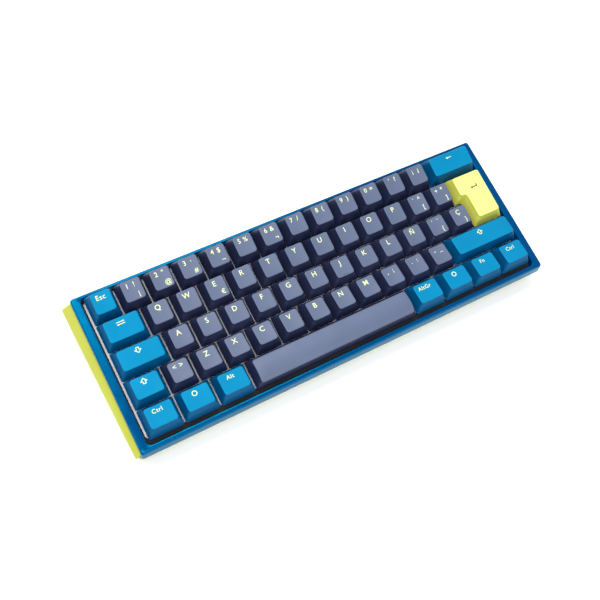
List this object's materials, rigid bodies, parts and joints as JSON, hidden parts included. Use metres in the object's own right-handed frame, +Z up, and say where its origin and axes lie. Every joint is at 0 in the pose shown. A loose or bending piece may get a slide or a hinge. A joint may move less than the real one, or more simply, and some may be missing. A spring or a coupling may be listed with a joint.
{
  "type": "mechanical keyboard",
  "caption": "Compact mechanical keyboard with sculpted blue, grey and yellow keycaps, a blue top frame over a yellow wedge case, and two-stage flip feet.",
  "frame": {"origin": "centre of the base on the desk, under the middle of the case", "axes": "+X to the typist's right along the keyboard, +Y to the back, +Z up"},
  "size_m": [0.31, 0.1068, 0.04],
  "materials": {
    "lower_case": "fine matte texture",
    "bezel": "smooth semi-gloss",
    "plate": "white powder coat",
    "board": "matte black board and housings",
    "port": "plated steel shell",
    "pad": "soft matte rubber",
    "leg": "fine matte texture",
    "keycap_blue": "fine matte texture",
    "keycap_grey": "fine matte texture",
    "keycap_yellow": "fine matte texture"
  },
  "bodies": {
    "case": {"bottom_case": "lower_case", "top_bezel": "bezel", "switch_plate": "plate", "circuit_board": "board", "usb_port": "port", "rubber_pad_front_left": "pad", "rubber_pad_front_right": "pad", "rubber_pad_rear_left": "pad", "rubber_pad_rear_right": "pad"},
    "tall_leg_left": {"tall_leg_left": "leg"},
    "short_leg_left": {"short_leg_left": "leg"},
    "tall_leg_right": {"tall_leg_right": "leg"},
    "short_leg_right": {"short_leg_right": "leg"},
    "key_esc": {"key_esc": "keycap_blue"},
    "key_backspace": {"key_backspace": "keycap_blue"},
    "key_tab": {"key_tab": "keycap_blue"},
    "key_caps_lock": {"key_caps_lock": "keycap_blue"},
    "key_a": {"key_a": "keycap_grey"},
    "key_s": {"key_s": "keycap_grey"},
    "key_d": {"key_d": "keycap_grey"},
    "key_f": {"key_f": "keycap_grey"},
    "key_g": {"key_g": "keycap_grey"},
    "key_h": {"key_h": "keycap_grey"},
    "key_j": {"key_j": "keycap_grey"},
    "key_k": {"key_k": "keycap_grey"},
    "key_l": {"key_l": "keycap_grey"},
    "key_n_tilde": {"key_n_tilde": "keycap_grey"},
    "key_enter": {"key_enter": "keycap_yellow"},
    "key_left_shift": {"key_left_shift": "keycap_blue"},
    "key_less_than": {"key_less_than": "keycap_grey"},
    "key_z": {"key_z": "keycap_grey"},
    "key_x": {"key_x": "keycap_grey"},
    "key_c": {"key_c": "keycap_grey"},
    "key_v": {"key_v": "keycap_grey"},
    "key_b": {"key_b": "keycap_grey"},
    "key_n": {"key_n": "keycap_grey"},
    "key_right_shift": {"key_right_shift": "keycap_blue"},
    "key_left_ctrl": {"key_left_ctrl": "keycap_blue"},
    "key_left_os": {"key_left_os": "keycap_blue"},
    "key_left_alt": {"key_left_alt": "keycap_blue"},
    "key_space": {"key_space": "keycap_grey"},
    "key_alt_gr": {"key_alt_gr": "keycap_blue"},
    "key_right_os": {"key_right_os": "keycap_blue"},
    "key_fn": {"key_fn": "keycap_blue"},
    "key_right_ctrl": {"key_right_ctrl": "keycap_blue"},
    "keys_1_2": {"keys_1_2": "keycap_grey"},
    "keys_3_4": {"keys_3_4": "keycap_grey"},
    "keys_5_6": {"keys_5_6": "keycap_grey"},
    "keys_7_8": {"keys_7_8": "keycap_grey"},
    "keys_9_0": {"keys_9_0": "keycap_grey"},
    "keys_apostrophe_inverted_exclamation": {"keys_apostrophe_inverted_exclamation": "keycap_grey"},
    "keys_q_w": {"keys_q_w": "keycap_grey"},
    "keys_e_r": {"keys_e_r": "keycap_grey"},
    "keys_t_y": {"keys_t_y": "keycap_grey"},
    "keys_u_i": {"keys_u_i": "keycap_grey"},
    "keys_o_p": {"keys_o_p": "keycap_grey"},
    "keys_grave_plus": {"keys_grave_plus": "keycap_grey"},
    "keys_acute_c_cedilla": {"keys_acute_c_cedilla": "keycap_grey"},
    "keys_m_comma": {"keys_m_comma": "keycap_grey"},
    "keys_period_hyphen": {"keys_period_hyphen": "keycap_grey"}
  },
  "joints": [
    {"name": "tall_leg_left_flip", "type": "hinge", "parent": "case", "child": "tall_leg_left", "pos_m": [-0.118, 0.041, 0.0046], "axis": [1, 0, 0], "range_deg": [0, 95]},
    {"name": "short_leg_left_flip", "type": "hinge", "parent": "case", "child": "short_leg_left", "pos_m": [-0.118, 0.041, 0.0046], "axis": [1, 0, 0], "range_deg": [0, 95]},
    {"name": "tall_leg_right_flip", "type": "hinge", "parent": "case", "child": "tall_leg_right", "pos_m": [0.118, 0.041, 0.0046], "axis": [1, 0, 0], "range_deg": [0, 95]},
    {"name": "short_leg_right_flip", "type": "hinge", "parent": "case", "child": "short_leg_right", "pos_m": [0.118, 0.041, 0.0046], "axis": [1, 0, 0], "range_deg": [0, 95]},
    {"name": "key_esc_press", "type": "slide", "parent": "case", "child": "key_esc", "axis": [0, 0.0958, -0.9954], "range_m": [0, 0.004], "stiffness_N_per_m": 100, "springref_m": -0.004},
    {"name": "key_backspace_press", "type": "slide", "parent": "case", "child": "key_backspace", "axis": [0, 0.0958, -0.9954], "range_m": [0, 0.004], "stiffness_N_per_m": 100, "springref_m": -0.004},
    {"name": "key_tab_press", "type": "slide", "parent": "case", "child": "key_tab", "axis": [0, 0.0958, -0.9954], "range_m": [0, 0.004], "stiffness_N_per_m": 100, "springref_m": -0.004},
    {"name": "key_caps_lock_press", "type": "slide", "parent": "case", "child": "key_caps_lock", "axis": [0, 0.0958, -0.9954], "range_m": [0, 0.004], "stiffness_N_per_m": 100, "springref_m": -0.004},
    {"name": "key_a_press", "type": "slide", "parent": "case", "child": "key_a", "axis": [0, 0.0958, -0.9954], "range_m": [0, 0.004], "stiffness_N_per_m": 100, "springref_m": -0.004},
    {"name": "key_s_press", "type": "slide", "parent": "case", "child": "key_s", "axis": [0, 0.0958, -0.9954], "range_m": [0, 0.004], "stiffness_N_per_m": 100, "springref_m": -0.004},
    {"name": "key_d_press", "type": "slide", "parent": "case", "child": "key_d", "axis": [0, 0.0958, -0.9954], "range_m": [0, 0.004], "stiffness_N_per_m": 100, "springref_m": -0.004},
    {"name": "key_f_press", "type": "slide", "parent": "case", "child": "key_f", "axis": [0, 0.0958, -0.9954], "range_m": [0, 0.004], "stiffness_N_per_m": 100, "springref_m": -0.004},
    {"name": "key_g_press", "type": "slide", "parent": "case", "child": "key_g", "axis": [0, 0.0958, -0.9954], "range_m": [0, 0.004], "stiffness_N_per_m": 100, "springref_m": -0.004},
    {"name": "key_h_press", "type": "slide", "parent": "case", "child": "key_h", "axis": [0, 0.0958, -0.9954], "range_m": [0, 0.004], "stiffness_N_per_m": 100, "springref_m": -0.004},
    {"name": "key_j_press", "type": "slide", "parent": "case", "child": "key_j", "axis": [0, 0.0958, -0.9954], "range_m": [0, 0.004], "stiffness_N_per_m": 100, "springref_m": -0.004},
    {"name": "key_k_press", "type": "slide", "parent": "case", "child": "key_k", "axis": [0, 0.0958, -0.9954], "range_m": [0, 0.004], "stiffness_N_per_m": 100, "springref_m": -0.004},
    {"name": "key_l_press", "type": "slide", "parent": "case", "child": "key_l", "axis": [0, 0.0958, -0.9954], "range_m": [0, 0.004], "stiffness_N_per_m": 100, "springref_m": -0.004},
    {"name": "key_n_tilde_press", "type": "slide", "parent": "case", "child": "key_n_tilde", "axis": [0, 0.0958, -0.9954], "range_m": [0, 0.004], "stiffness_N_per_m": 100, "springref_m": -0.004},
    {"name": "key_enter_press", "type": "slide", "parent": "case", "child": "key_enter", "axis": [0, 0.0958, -0.9954], "range_m": [0, 0.004], "stiffness_N_per_m": 100, "springref_m": -0.004},
    {"name": "key_left_shift_press", "type": "slide", "parent": "case", "child": "key_left_shift", "axis": [0, 0.0958, -0.9954], "range_m": [0, 0.004], "stiffness_N_per_m": 100, "springref_m": -0.004},
    {"name": "key_less_than_press", "type": "slide", "parent": "case", "child": "key_less_than", "axis": [0, 0.0958, -0.9954], "range_m": [0, 0.004], "stiffness_N_per_m": 100, "springref_m": -0.004},
    {"name": "key_z_press", "type": "slide", "parent": "case", "child": "key_z", "axis": [0, 0.0958, -0.9954], "range_m": [0, 0.004], "stiffness_N_per_m": 100, "springref_m": -0.004},
    {"name": "key_x_press", "type": "slide", "parent": "case", "child": "key_x", "axis": [0, 0.0958, -0.9954], "range_m": [0, 0.004], "stiffness_N_per_m": 100, "springref_m": -0.004},
    {"name": "key_c_press", "type": "slide", "parent": "case", "child": "key_c", "axis": [0, 0.0958, -0.9954], "range_m": [0, 0.004], "stiffness_N_per_m": 100, "springref_m": -0.004},
    {"name": "key_v_press", "type": "slide", "parent": "case", "child": "key_v", "axis": [0, 0.0958, -0.9954], "range_m": [0, 0.004], "stiffness_N_per_m": 100, "springref_m": -0.004},
    {"name": "key_b_press", "type": "slide", "parent": "case", "child": "key_b", "axis": [0, 0.0958, -0.9954], "range_m": [0, 0.004], "stiffness_N_per_m": 100, "springref_m": -0.004},
    {"name": "key_n_press", "type": "slide", "parent": "case", "child": "key_n", "axis": [0, 0.0958, -0.9954], "range_m": [0, 0.004], "stiffness_N_per_m": 100, "springref_m": -0.004},
    {"name": "key_right_shift_press", "type": "slide", "parent": "case", "child": "key_right_shift", "axis": [0, 0.0958, -0.9954], "range_m": [0, 0.004], "stiffness_N_per_m": 100, "springref_m": -0.004},
    {"name": "key_left_ctrl_press", "type": "slide", "parent": "case", "child": "key_left_ctrl", "axis": [0, 0.0958, -0.9954], "range_m": [0, 0.004], "stiffness_N_per_m": 100, "springref_m": -0.004},
    {"name": "key_left_os_press", "type": "slide", "parent": "case", "child": "key_left_os", "axis": [0, 0.0958, -0.9954], "range_m": [0, 0.004], "stiffness_N_per_m": 100, "springref_m": -0.004},
    {"name": "key_left_alt_press", "type": "slide", "parent": "case", "child": "key_left_alt", "axis": [0, 0.0958, -0.9954], "range_m": [0, 0.004], "stiffness_N_per_m": 100, "springref_m": -0.004},
    {"name": "key_space_press", "type": "slide", "parent": "case", "child": "key_space", "axis": [0, 0.0958, -0.9954], "range_m": [0, 0.004], "stiffness_N_per_m": 130, "springref_m": -0.004},
    {"name": "key_alt_gr_press", "type": "slide", "parent": "case", "child": "key_alt_gr", "axis": [0, 0.0958, -0.9954], "range_m": [0, 0.004], "stiffness_N_per_m": 100, "springref_m": -0.004},
    {"name": "key_right_os_press", "type": "slide", "parent": "case", "child": "key_right_os", "axis": [0, 0.0958, -0.9954], "range_m": [0, 0.004], "stiffness_N_per_m": 100, "springref_m": -0.004},
    {"name": "key_fn_press", "type": "slide", "parent": "case", "child": "key_fn", "axis": [0, 0.0958, -0.9954], "range_m": [0, 0.004], "stiffness_N_per_m": 100, "springref_m": -0.004},
    {"name": "key_right_ctrl_press", "type": "slide", "parent": "case", "child": "key_right_ctrl", "axis": [0, 0.0958, -0.9954], "range_m": [0, 0.004], "stiffness_N_per_m": 100, "springref_m": -0.004},
    {"name": "keys_1_2_press", "type": "slide", "parent": "case", "child": "keys_1_2", "axis": [0, 0.0958, -0.9954], "range_m": [0, 0.004], "stiffness_N_per_m": 100, "springref_m": -0.004},
    {"name": "keys_3_4_press", "type": "slide", "parent": "case", "child": "keys_3_4", "axis": [0, 0.0958, -0.9954], "range_m": [0, 0.004], "stiffness_N_per_m": 100, "springref_m": -0.004},
    {"name": "keys_5_6_press", "type": "slide", "parent": "case", "child": "keys_5_6", "axis": [0, 0.0958, -0.9954], "range_m": [0, 0.004], "stiffness_N_per_m": 100, "springref_m": -0.004},
    {"name": "keys_7_8_press", "type": "slide", "parent": "case", "child": "keys_7_8", "axis": [0, 0.0958, -0.9954], "range_m": [0, 0.004], "stiffness_N_per_m": 100, "springref_m": -0.004},
    {"name": "keys_9_0_press", "type": "slide", "parent": "case", "child": "keys_9_0", "axis": [0, 0.0958, -0.9954], "range_m": [0, 0.004], "stiffness_N_per_m": 100, "springref_m": -0.004},
    {"name": "keys_apostrophe_inverted_exclamation_press", "type": "slide", "parent": "case", "child": "keys_apostrophe_inverted_exclamation", "axis": [0, 0.0958, -0.9954], "range_m": [0, 0.004], "stiffness_N_per_m": 100, "springref_m": -0.004},
    {"name": "keys_q_w_press", "type": "slide", "parent": "case", "child": "keys_q_w", "axis": [0, 0.0958, -0.9954], "range_m": [0, 0.004], "stiffness_N_per_m": 100, "springref_m": -0.004},
    {"name": "keys_e_r_press", "type": "slide", "parent": "case", "child": "keys_e_r", "axis": [0, 0.0958, -0.9954], "range_m": [0, 0.004], "stiffness_N_per_m": 100, "springref_m": -0.004},
    {"name": "keys_t_y_press", "type": "slide", "parent": "case", "child": "keys_t_y", "axis": [0, 0.0958, -0.9954], "range_m": [0, 0.004], "stiffness_N_per_m": 100, "springref_m": -0.004},
    {"name": "keys_u_i_press", "type": "slide", "parent": "case", "child": "keys_u_i", "axis": [0, 0.0958, -0.9954], "range_m": [0, 0.004], "stiffness_N_per_m": 100, "springref_m": -0.004},
    {"name": "keys_o_p_press", "type": "slide", "parent": "case", "child": "keys_o_p", "axis": [0, 0.0958, -0.9954], "range_m": [0, 0.004], "stiffness_N_per_m": 100, "springref_m": -0.004},
    {"name": "keys_grave_plus_press", "type": "slide", "parent": "case", "child": "keys_grave_plus", "axis": [0, 0.0958, -0.9954], "range_m": [0, 0.004], "stiffness_N_per_m": 100, "springref_m": -0.004},
    {"name": "keys_acute_c_cedilla_press", "type": "slide", "parent": "case", "child": "keys_acute_c_cedilla", "axis": [0, 0.0958, -0.9954], "range_m": [0, 0.004], "stiffness_N_per_m": 100, "springref_m": -0.004},
    {"name": "keys_m_comma_press", "type": "slide", "parent": "case", "child": "keys_m_comma", "axis": [0, 0.0958, -0.9954], "range_m": [0, 0.004], "stiffness_N_per_m": 100, "springref_m": -0.004},
    {"name": "keys_period_hyphen_press", "type": "slide", "parent": "case", "child": "keys_period_hyphen", "axis": [0, 0.0958, -0.9954], "range_m": [0, 0.004], "stiffness_N_per_m": 100, "springref_m": -0.004}
  ]
}
